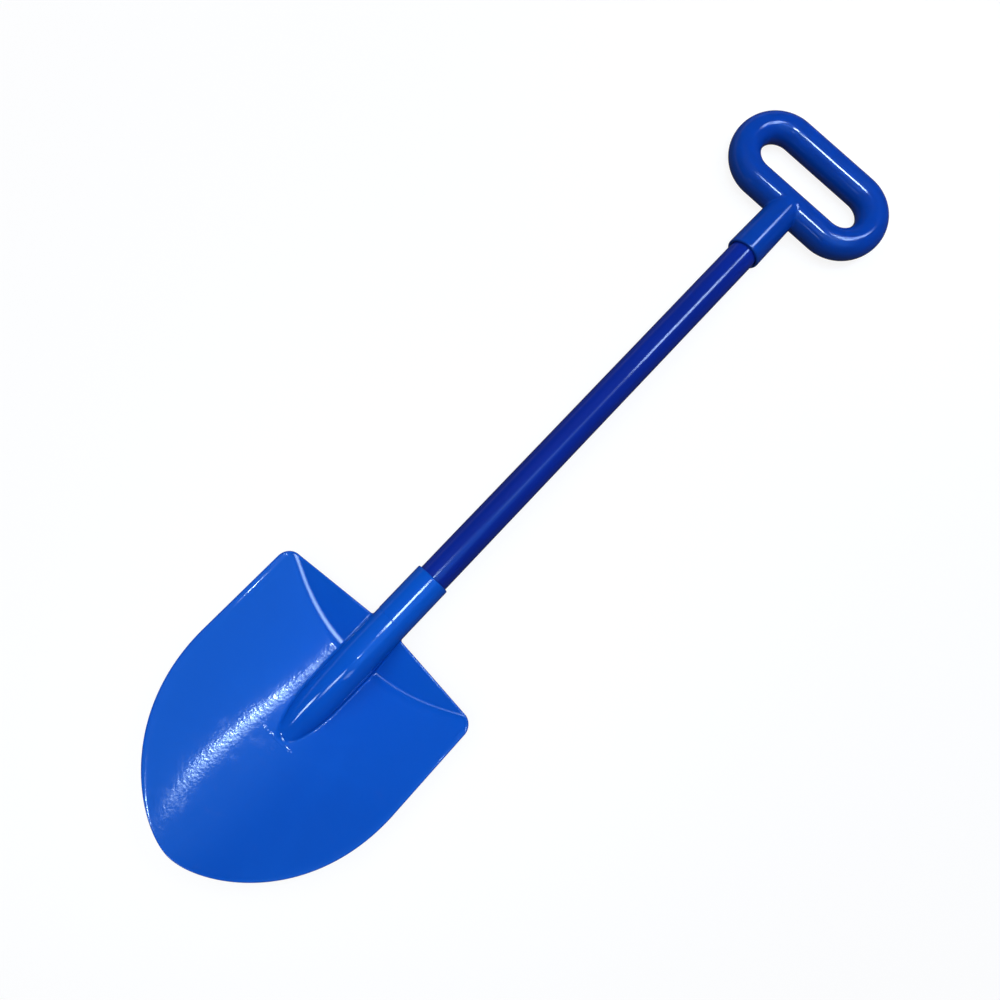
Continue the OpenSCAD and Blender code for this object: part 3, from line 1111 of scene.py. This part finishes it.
@dataclass(frozen=True)
class CountersunkScrew:
    """A countersunk screw with a cross recess and a rolled thread."""

    sizes: ScrewSizes
    sides: int = 48
    ring: int = 24
    recess_width: float = 2 / 3
    recess_slot: float = 1 / 6

    def build(
        self, name: str, lay: Matrix, place: Vector, finish: bpy.types.Material
    ) -> bpy.types.Mesh:
        """Makes one screw, its head down and its point up.

        Args:
            name: name of the mesh.
            lay: matrix from millimetres along the shaft to the frame.
            place: the middle of its head's face, along the shaft.
            finish: material of the screw.

        Returns:
            The mesh in the frame.
        """
        sizes = self.sizes
        shape = ShapeTree(
            name,
            {
                "Thread": sizes.thread,
                "Core": sizes.core,
                "Head": sizes.head,
                "Head Height": sizes.head_height,
                "Length": sizes.length,
                "Pitch": sizes.pitch,
            },
            {"Sides": self.sides, "Ring": self.ring},
        )
        across, high, pitch = (shape.size(key) for key in ("Head", "Head Height", "Pitch"))
        thread, core, head = (
            shape.add(Kind.MATH, shape.size(key), 2, operation="DIVIDE")
            for key in ("Thread", "Core", "Head")
        )
        straight = shape.add(Kind.MATH, shape.size("Length"), pitch, operation="SUBTRACT")
        cone, stem, point = (
            shape.add(
                Kind.CONE,
                named={
                    "Vertices": shape.size("Sides"),
                    "Radius Bottom": bottom,
                    "Radius Top": top,
                    "Depth": depth,
                },
            )
            for bottom, top, depth in (
                (head, core, high),
                (core, core, straight),
                (core, 0.0, pitch),
            )
        )
        raised = shape.add(Kind.COMBINE, named={"Z": straight})
        point = shape.add(Kind.MOVE, point, named={"Translation": raised})
        run = shape.add(Kind.MATH, straight, high, operation="SUBTRACT")
        helix = shape.add(
            Kind.SPIRAL,
            named={
                "Resolution": shape.size("Ring"),
                "Rotations": shape.add(Kind.MATH, run, pitch, operation="DIVIDE"),
                "Start Radius": core,
                "End Radius": core,
                "Height": run,
            },
        )
        flank = shape.add(Kind.MATH, thread, core, operation="SUBTRACT")
        ridge = shape.add(Kind.CIRCLE, named={"Resolution": 3, "Radius": flank})
        swept = {"Curve": helix, "Profile Curve": ridge, "Fill Caps": True}
        wound = shape.add(Kind.SWEEP, named=swept)
        under_head = shape.add(Kind.COMBINE, named={"Z": high})
        wound = shape.add(Kind.MOVE, wound, named={"Translation": under_head})
        wide = shape.add(Kind.MATH, across, self.recess_width, operation="MULTIPLY")
        slot = shape.add(Kind.MATH, across, self.recess_slot, operation="MULTIPLY")
        boxes = [shape.add(Kind.COMBINE, *sides, high) for sides in ((wide, slot), (slot, wide))]
        arms = [shape.add(Kind.CUBE, named={"Size": box}) for box in boxes]
        cross = shape.add(Kind.BOOLEAN, named={1: arms}, operation="UNION", solver="EXACT")
        cleared = shape.add(Kind.BOOLEAN, cone, cross, operation="DIFFERENCE", solver="EXACT")
        joined = shape.add(Kind.JOIN, [wound, point, stem, cleared])
        mesh = plain_mesh(shape.piece(name, joined, finish), name)
        mesh.transform(lay @ Matrix.Translation(place))
        return mesh

    def dress(self, pose: "RestPose") -> bpy.types.Material:
        """Gives the screw its finish."""
        return Steel("zinc_plated_steel", "#b4b6b8", "#8f8f88", 0.3, 0.5).material(pose)


@dataclass(frozen=True)
class RestPose:
    """How the shovel lies on its back, so that the pan and the far bar touch the ground."""

    blade: Blade
    grip: Grip

    @property
    def touch(self) -> tuple[float, float]:
        """Place and height of the pan's lowest point, beside the hollow of the nose."""
        blade = self.blade
        drop = blade.rim_drop + blade.depth
        x = blade.nose_radius - blade.nose_wall + drop * math.tan(math.radians(blade.draft))
        share = float(blade.dish(np.array(x / (blade.shoulder_width / 2))))
        y = float(blade.shoulder(np.array(x))) - blade.back_wall * share
        return y, -blade.rim_drop - blade.depth * share - blade.wall

    @property
    def lean(self) -> float:
        """Angle between the shaft and the ground."""
        y, z = self.touch
        run = self.grip.far - y
        return math.asin(-self.grip.radius / math.hypot(z, run)) - math.atan2(z, run)

    @property
    def lift(self) -> float:
        """Height of the socket mouth's middle over the ground."""
        return self.grip.far * math.sin(self.lean) + self.grip.radius

    @property
    def matrix(self) -> Matrix:
        """Matrix from millimetres along the shaft to the frame."""
        lean = self.lean
        under = self.blade.rim_drop + self.blade.wall
        front = self.blade.y_tip * math.cos(lean) - under * math.sin(lean)
        back = self.grip.far * math.cos(lean) + self.grip.radius
        move = Matrix.Translation((0, -(front + back) / 2, self.lift))
        return Matrix.Scale(MM, 4) @ move @ Matrix.Rotation(-lean, 4, "X")


@dataclass(frozen=True)
class Patches:
    """A cloudy pattern of a real size, in millimetres along the shaft.

    It rises smoothly from nothing, where its noise is at start, to its share, where the noise
    is at full. Squeeze makes its patches narrower along each axis.
    """

    size: float
    detail: float
    seed: float
    start: float = 0.0
    full: float = 1.0
    share: float = 1.0
    squeeze: Triple = (1, 1, 1)


class Finish(NodeMaker):
    """A material's node tree, with places in millimetres along the shaft."""

    def __init__(self, name: str, pose: RestPose) -> None:
        """Starts the material.

        Args:
            name: name of the material.
            pose: how the shovel lies, so that patterns follow the shaft.
        """
        self.material = bpy.data.materials.new(name)
        self.material.use_nodes = True
        super().__init__(self.material.node_tree)
        self.shader = next(n for n in self.tree.nodes if n.type == "BSDF_PRINCIPLED")
        place = self.add(
            Kind.MAPPING,
            named={
                "Vector": self.add(Kind.COORDINATE).outputs["Object"],
                "Location": pose.matrix.inverted().to_translation(),
                "Rotation": (pose.lean, 0, 0),
                "Scale": (1 / MM, 1 / MM, 1 / MM),
            },
        )
        self.place = place.outputs["Vector"]

    def noise(self, pattern: Patches) -> bpy.types.Node:
        """Adds the bare noise of a pattern, at its real size."""
        pressed = self.add(Kind.VECTOR_MATH, self.place, pattern.squeeze, operation="MULTIPLY")
        return self.add(
            Kind.NOISE,
            named={
                "Vector": pressed,
                "W": pattern.seed,
                "Scale": 1 / pattern.size,
                "Detail": pattern.detail,
            },
            noise_dimensions="4D",
        )

    def patches(
        self,
        pattern: Patches,
        low: float = 0.0,
        high: float | None = None,
        noise: bpy.types.Node | None = None,
    ) -> bpy.types.Node:
        """Adds a pattern with soft edges.

        Args:
            pattern: the pattern.
            low: value where there is none of it.
            high: value where it is full, or None for its share.
            noise: the noise that it takes, or None for its own.

        Returns:
            The node that gives the value.
        """
        top = pattern.share if high is None else high
        ends = (pattern.start, pattern.full, low, top)
        return self.add(
            Kind.RANGE, noise or self.noise(pattern), *ends, interpolation_type=SMOOTH
        )

    def tinted(self, colour: str, *tints: tuple[object, str]) -> bpy.types.NodeSocket:
        """Lays tints over a colour.

        Args:
            colour: the colour under them.
            tints: each tint's share and colour.

        Returns:
            The socket that gives the colour.
        """
        result: object = srgb(colour)
        for share, tint in tints:
            layers = {0: share, 6: result, 7: srgb(tint)}
            result = self.add(Kind.MIX, named=layers, data_type="RGBA").outputs[2]
        return result

    def end(
        self,
        colour: bpy.types.NodeSocket,
        rough: bpy.types.Node,
        heights: list[tuple[bpy.types.Node, float]],
        constants: dict[str, float],
    ) -> bpy.types.Material:
        """Gives the shader its colour, its roughness, its fine relief and its constants.

        Args:
            colour: the colour.
            rough: the roughness.
            heights: pairs of a height pattern, from 0 to 1, and its height in millimetres.
            constants: values that are the same all over the surface.

        Returns:
            The finished material.
        """
        self.tree.links.new(colour, self.shader.inputs["Base Color"])
        self.tree.links.new(rough.outputs[0], self.shader.inputs["Roughness"])
        under: dict[str, object] = {}
        for pattern, height in heights:
            relief = {"Height": pattern, "Distance": height * MM}
            under = {"Normal": self.add(Kind.BUMP, named=relief | under)}
        self.tree.links.new(under["Normal"].outputs[0], self.shader.inputs["Normal"])
        for name, value in constants.items():
            self.shader.inputs[name].default_value = value
        return self.material


@dataclass(frozen=True)
class MouldedPolypropylene:
    """Polypropylene, coloured through and injection-moulded against polished steel.

    The melt flows out from the gate, which leaves faint paler streaks. The skin is glossy with
    a fine orange peel, sinks a little in long waves as it cools, and is rubbed dull in patches.
    """

    name: str
    colour: str
    pale: str
    deep: str
    gate_y: float
    roughness: float = 0.1
    peel: float = 1.8
    peel_height: float = 0.01
    wave: float = 16.0
    wave_height: float = 0.03
    ior: float = 1.49
    parting_line: float = 0.0
    streaks_round: float = 7.0
    streaks_out: float = 0.012
    streak_detail: float = 2.0
    streak_share: float = 0.3
    clouds: Patches = Patches(38, 2, 3, 0.55, 0.95, 0.6, (1, 0.7, 1))
    depth: Patches = Patches(30, 3, 5, 0.5, 0.85, 0.5)
    rubbed: Patches = Patches(9, 4, 9, 0.58, 0.75, 0.05)
    dull: Patches = Patches(5, 4, 6, 0.3, 0.75)
    dull_range: tuple[float, float] = (0.85, 1.2)

    def streaked(self, finish: Finish) -> bpy.types.Node:
        """Noise of the clouds, with streaks that run out from the gate.

        Args:
            finish: the material.

        Returns:
            The node that gives the noise.
        """
        gate = (0, self.gate_y, 0)
        from_gate = finish.add(Kind.VECTOR_MATH, finish.place, gate, operation="SUBTRACT")
        parts = finish.add(Kind.SEPARATE, from_gate).outputs
        angle = finish.add(Kind.MATH, parts["X"], parts["Y"], operation="ARCTAN2")
        away = finish.add(Kind.VECTOR_MATH, from_gate, operation="LENGTH").outputs["Value"]
        place = finish.add(
            Kind.COMBINE,
            finish.add(Kind.MATH, angle, self.streaks_round, operation="MULTIPLY"),
            finish.add(Kind.MATH, away, self.streaks_out, operation="MULTIPLY"),
        )
        size = {"Vector": place, "Scale": 1.0, "Detail": self.streak_detail}
        streaks = finish.add(Kind.NOISE, named=size)
        clouds = finish.noise(self.clouds)
        return finish.add(
            Kind.MATH, streaks, self.streak_share, clouds, operation="MULTIPLY_ADD"
        )

    def material(self, pose: RestPose) -> bpy.types.Material:
        """Builds the material.

        Args:
            pose: how the shovel lies.

        Returns:
            The material.
        """
        finish = Finish(self.name, pose)
        pale = finish.patches(self.clouds, noise=self.streaked(finish))
        colour = finish.tinted(
            self.colour, (pale, self.pale), (finish.patches(self.depth), self.deep)
        )
        low, high = (self.roughness * share for share in self.dull_range)
        dull = finish.patches(self.dull, low, high)
        rough = finish.add(Kind.MATH, finish.patches(self.rubbed), dull, operation="ADD")
        heights = [
            (finish.noise(Patches(self.wave, 1, 1)), self.wave_height),
            (finish.noise(Patches(self.peel, 1, 2)), self.peel_height),
        ]
        if self.parting_line:
            height = finish.add(Kind.SEPARATE, finish.place).outputs["Z"]
            off_line = finish.add(Kind.MATH, height, operation="ABSOLUTE")
            ends = (0, self.parting_line, 1, 0)
            seam = finish.add(Kind.RANGE, off_line, *ends, interpolation_type=SMOOTH)
            heights.append((seam, self.parting_line / 4))
        return finish.end(colour, rough, heights, {"IOR": self.ior})


@dataclass(frozen=True)
class ShrunkFilm:
    """Polyvinyl chloride film, printed in one colour and shrunk onto the tube.

    It is the glossiest surface of the shovel: lamps show as thin lines, which waver where the
    film bridges the drawing marks of the tube, and a few rubbed specks break the gloss.
    """

    name: str = "shrunk_polyvinyl_chloride_film"
    colour: str = "#0a2a90"
    deep: str = "#0a2684"
    rubbed: str = "#4a68b8"
    roughness: float = 0.12
    speck_roughness: float = 0.2
    ripple_height: float = 0.003
    ior: float = 1.54
    ripple: Patches = Patches(7, 1, 7, squeeze=(1, 0.4, 1))
    depth: Patches = Patches(40, 2, 2, 0.35, 0.75, 1, (2, 0.5, 2))
    specks: Patches = Patches(1.4, 3, 4, 0.7, 0.78, 1, (1, 0.35, 1))
    worn: Patches = Patches(45, 1, 5, 0.58, 0.7, 0.5, (0.4, 1, 0.4))

    def material(self, pose: RestPose) -> bpy.types.Material:
        """Builds the material.

        Args:
            pose: how the shovel lies.

        Returns:
            The material.
        """
        finish = Finish(self.name, pose)
        depth, specks, worn = (finish.patches(p) for p in (self.depth, self.specks, self.worn))
        specks = finish.add(Kind.MATH, specks, worn, operation="MULTIPLY")
        colour = finish.tinted(self.colour, (depth, self.deep), (specks, self.rubbed))
        rough = finish.add(
            Kind.MATH, specks, self.speck_roughness, self.roughness, operation="MULTIPLY_ADD"
        )
        heights = [(finish.noise(self.ripple), self.ripple_height)]
        return finish.end(colour, rough, heights, {"IOR": self.ior})


@dataclass(frozen=True)
class Steel:
    """Bare or plated steel, marked by how it was made.

    Drawn tube has long fine lines along its length; a plated screw is brighter and grainy.
    """

    name: str
    colour: str
    stained: str
    roughness: float
    grain: float
    squeeze: Triple = (1, 1, 1)
    grain_height: float = 0.01
    grain_range: tuple[float, float] = (0.8, 1.3)
    stain: Patches = Patches(6, 3, 2, 0.45, 0.75, 0.6)

    def material(self, pose: RestPose) -> bpy.types.Material:
        """Builds the material.

        Args:
            pose: how the shovel lies.

        Returns:
            The material.
        """
        finish = Finish(self.name, pose)
        grain = Patches(self.grain, 4, 1, 0.25, 0.75, squeeze=self.squeeze)
        colour = finish.tinted(self.colour, (finish.patches(self.stain), self.stained))
        low, high = (self.roughness * share for share in self.grain_range)
        heights = [(finish.noise(grain), self.grain_height)]
        return finish.end(colour, finish.patches(grain, low, high), heights, {"Metallic": 1.0})


# The strip lamps' light: a little blue, and bluer over the shaft.
COOL = "#c4e4ff"
COLD = "#b0d0ff"


@dataclass(frozen=True)
class Lamp:
    """A strip lamp between two ends, in millimetres along the shaft.

    Its width is measured across the strip, its power in watts, and its spread, the full angle
    of its beam, in degrees.
    """

    name: str
    start: Triple
    end: Triple
    width: float
    power: float
    target: Triple = (0.0, 0.0, 0.0)
    colour: str = "#ffffff"
    spread: float = 180.0
    glossy: bool = True

    def hang(self, lay: Matrix) -> None:
        """Makes the lamp and turns its face to its target.

        Args:
            lay: matrix from millimetres along the shaft to the frame.
        """
        start, end, target = (lay @ Vector(p) for p in (self.start, self.end, self.target))
        along = (end - start).normalized()
        place = (start + end) / 2
        back = place - target
        back = (back - along * back.dot(along)).normalized()
        data = bpy.data.lights.new(self.name, "AREA")
        data.shape = "RECTANGLE"
        data.size = self.width * MM
        data.size_y = (end - start).length
        data.energy = self.power
        data.color = srgb(self.colour)[:3]
        data.spread = math.radians(self.spread)
        lamp = bpy.data.objects.new(self.name, data)
        turn = Matrix((along.cross(back), along, back)).transposed()
        lamp.matrix_world = Matrix.Translation(place) @ turn.to_4x4()
        lamp.visible_glossy = self.glossy
        bpy.context.scene.collection.objects.link(lamp)


@dataclass(frozen=True)
class Studio:
    """Camera, lamps, floor and surroundings.

    Places are in millimetres along the shaft, angles in degrees, and levels are brightness,
    where 1 is white. One wide lamp, which gloss doesn't show, lights the shovel evenly. Each
    strip lamp draws one of the photograph's highlights.
    """

    camera_place: Triple = (21.5, -15.0, 473.7)
    tilt: float = -9.33
    turn: float = -3.0
    twist: float = -0.18
    roll: float = 43.538
    focal_pixels: float = 780.0
    frame_pixels: float = 1000.0
    sensor: float = 36.0
    nearest: float = 10.0
    floor_size: float = 12.0
    floor_colour: str = "#ffffff"
    floor_glow: float = 0.89
    floor_paper: float = 0.14
    floor_mirrored: float = 0.04
    wall_level: float = 0.7
    wall_low: float = 0.0
    wall_high: float = 0.15
    side_from: float = -0.8
    side_to: float = 0.3
    side_low: float = 0.08
    ceiling: float = 0.03
    around: float = 0.12
    veil_way: Triple = (330, -130, 1000)
    veil_core: float = 6.0
    veil_edge: float = 34.0
    veil_level: float = 1.7
    veil_colour: str = "#58a8ff"
    lamps: tuple[Lamp, ...] = (
        Lamp("pan_lamp", (84, -214, 1000), (110, -198, 1000), 12, 0.2, (60, -120, 0), COOL),
        Lamp("pan_soft_lamp", (70, -208, 1000), (106, -192, 1000), 40, 0.055, (60, -120, 0), COOL),
        Lamp("collar_lamp", (10, -98, 1000), (10, 20, 1000), 200, 0.1, (0, -20, 0), COOL, 36),
        Lamp("shaft_lamp", (245, 620, 1000), (245, 900, 1000), 230, 5.5, (0, 250, 0), COLD),
        Lamp("shaft_long_lamp", (245, 200, 1000), (245, 1119, 1000), 200, 0.6, (0, 250, 0), COLD),
        Lamp("socket_lamp", (245, 975, 1047), (245, 1105, 953), 230, 0.05, (0, 310, 0), COLD, 30),
        Lamp("bar_lamp", (-90, 268, 1000), (60, 268, 1000), 110, 0.12, (0, 460, 0), COOL, 30),
        Lamp("nose_lamp", (95, -600, 750), (-65, -835, 525), 130, 0.042, (0, -100, 0), COOL, 24),
        Lamp("tip_lamp", (-225, -813, 480), (-295, -883, 304), 90, 0.022, (0, -120, 0), COOL, 24),
        Lamp(
            "crease_lamp", (347, -651, 699), (603, -549, 581), 130, 0.013, (-35, -60, 0), COOL, 30
        ),
        Lamp("soft_fill", (-500, -700, 1500), (-500, 900, 1500), 1400, 13.8, glossy=False),
    )

    def camera(self, lay: Matrix) -> None:
        """Makes the camera at the photograph's viewing angle.

        Args:
            lay: matrix from millimetres along the shaft to the frame.
        """
        tilt, turn, twist = (math.radians(a) for a in (self.tilt, self.turn, self.twist))
        view = Matrix.Rotation(tilt, 3, "X") @ Matrix.Rotation(turn, 3, "Y")
        view = view @ Matrix.Rotation(twist, 3, "Z")
        roll = math.radians(self.roll)
        right = view[0] * math.cos(roll) + view[1] * math.sin(roll)
        up = view[1] * math.cos(roll) - view[0] * math.sin(roll)
        data = bpy.data.cameras.new("camera")
        data.sensor_width = self.sensor
        data.lens = self.sensor * self.focal_pixels / self.frame_pixels
        data.clip_start = self.nearest * MM
        camera = bpy.data.objects.new("camera", data)
        axes = Matrix((right, up, view[2])).transposed()
        turned = lay.to_3x3().normalized() @ axes
        place = Matrix.Translation(lay @ Vector(self.camera_place))
        camera.matrix_world = place @ turned.to_4x4()
        bpy.context.scene.collection.objects.link(camera)
        bpy.context.scene.camera = camera

    def floor(self) -> None:
        """Makes the pale floor, which keeps the shovel's shadow."""
        half = self.floor_size / 2
        mesh = bpy.data.meshes.new("floor")
        corners = [(-half, -half, 0), (half, -half, 0), (half, half, 0), (-half, half, 0)]
        mesh.from_pydata(corners, [], [(0, 1, 2, 3)])
        floor = bpy.data.objects.new("floor", mesh)
        bpy.context.scene.collection.objects.link(floor)
        material = bpy.data.materials.new("matt_paper_floor")
        material.use_nodes = True
        material.node_tree.nodes.clear()
        nodes = NodeMaker(material.node_tree)
        paper = self.level(nodes, self.floor_paper, self.floor_mirrored, self.floor_paper)
        matt = nodes.add(Kind.DIFFUSE, paper)
        level = self.level(nodes, self.floor_glow, self.floor_mirrored, 0.0)
        glow = nodes.add(Kind.EMISSION, srgb(self.floor_colour), level)
        both = nodes.add(Kind.ADD_SHADER, matt, glow)
        nodes.add(Kind.MATERIAL_OUTPUT, both)
        mesh.materials.append(material)

    @staticmethod
    def level(
        nodes: NodeMaker, seen: float, mirrored: object, lighting: float
    ) -> bpy.types.Node:
        """Brightness that a ray finds, by its kind.

        Args:
            nodes: what makes the nodes.
            seen: level for rays from the camera and through clear surfaces.
            mirrored: level for rays off glossy surfaces.
            lighting: level for rays that gather light on matt surfaces.

        Returns:
            The node that gives the level.
        """
        path = nodes.add(Kind.LIGHT_PATH).outputs
        total: object = 0.0
        for kind, value in (
            ("Is Camera Ray", seen),
            ("Is Transmission Ray", seen),
            ("Is Glossy Ray", mirrored),
            ("Is Diffuse Ray", lighting),
        ):
            part = nodes.add(Kind.MATH, path[kind], value, operation="MULTIPLY")
            total = nodes.add(Kind.MATH, total, part, operation="MAXIMUM")
        return total

    def surroundings(self) -> None:
        """Makes pale walls low round the shovel, under a dim ceiling with one pale patch."""
        world = bpy.data.worlds.new("studio")
        bpy.context.scene.world = world
        world.use_nodes = True
        world.node_tree.nodes.clear()
        nodes = NodeMaker(world.node_tree)
        way = nodes.add(Kind.COORDINATE).outputs["Generated"]
        parts = nodes.add(Kind.SEPARATE, way).outputs
        ends = (self.side_from, self.side_to, self.wall_level, self.side_low)
        side = nodes.add(Kind.RANGE, parts["X"], *ends, interpolation_type=SMOOTH)
        ends = (self.wall_low, self.wall_high, side, self.ceiling)
        wall = nodes.add(Kind.RANGE, parts["Z"], *ends, interpolation_type=SMOOTH)
        level = self.level(nodes, 1.0, wall, self.around)
        glow = nodes.add(Kind.BACKGROUND, (1, 1, 1, 1), level)
        middle = Vector(self.veil_way).normalized()
        toward = nodes.add(Kind.VECTOR_MATH, way, middle, operation="DOT_PRODUCT").outputs
        edge, core = (math.cos(math.radians(a)) for a in (self.veil_edge, self.veil_core))
        ends = (edge, core, 0.0, self.veil_level)
        patch = nodes.add(Kind.RANGE, toward["Value"], *ends, interpolation_type=SMOOTH)
        level = self.level(nodes, 0.0, patch, 0.0)
        veil = nodes.add(Kind.BACKGROUND, srgb(self.veil_colour), level)
        both = nodes.add(Kind.ADD_SHADER, glow, veil)
        nodes.add(Kind.WORLD_OUTPUT, both)

    def build(self, lay: Matrix) -> None:
        """Makes the whole studio."""
        self.camera(lay)
        self.floor()
        self.surroundings()
        for lamp in self.lamps:
            lamp.hang(lay)
        bpy.context.scene.view_settings.view_transform = "Standard"


def show(mesh: bpy.types.Mesh, finish: bpy.types.Material, node: str) -> None:
    """Puts a finished piece in the scene in place of a node of the frame.

    Args:
        mesh: its mesh, in the frame, which gives the piece its name.
        finish: its material.
        node: the node that it stands for.
    """
    mesh.materials.clear()
    mesh.materials.append(finish)
    piece = bpy.data.objects.new(mesh.name, mesh)
    bpy.context.scene.collection.objects.link(piece)
    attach(piece, BODY)
    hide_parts(node)
    log.info("%s stands for %s: %d faces", mesh.name, node, len(mesh.polygons))


def main() -> None:
    """Builds every piece in order, then the studio."""
    logging.basicConfig(level=logging.INFO, format="%(name)s: %(message)s")
    shaft = ShaftSizes()
    screw = ScrewSizes()
    blade = Blade(shaft, screw)
    grip = Grip(shaft, screw)
    pose = RestPose(blade, grip)
    lay = pose.matrix
    log.info("lean %.4f degrees, lift %.3f mm", math.degrees(pose.lean), pose.lift)

    show(blade.build(lay), blade.dress(pose), "blade")
    show(grip.build(lay), grip.dress(pose), "handle")

    sleeve = FilmSleeve(shaft)
    film = sleeve.dress(pose)
    show(sleeve.build(lay, film), film, "shaft_film")

    fastener = CountersunkScrew(screw)
    plated = fastener.dress(pose)
    for node, place in (("blade_screw", blade.screw_place), ("handle_screw", grip.screw_place)):
        mesh = fastener.build(node + "_steel", lay, place, plated)
        show(mesh, plated, node)

    drawn = Steel("cold_drawn_steel_tube", "#a3a5a8", "#7c7a76", 0.32, 0.8, (1, 0.02, 1))
    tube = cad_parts["shaft_tube"]
    tube.data.materials.clear()
    tube.data.materials.append(drawn.material(pose))
    log.info("shaft_tube keeps its own mesh")

    Studio().build(lay)


if __name__ == "__main__":
    main()
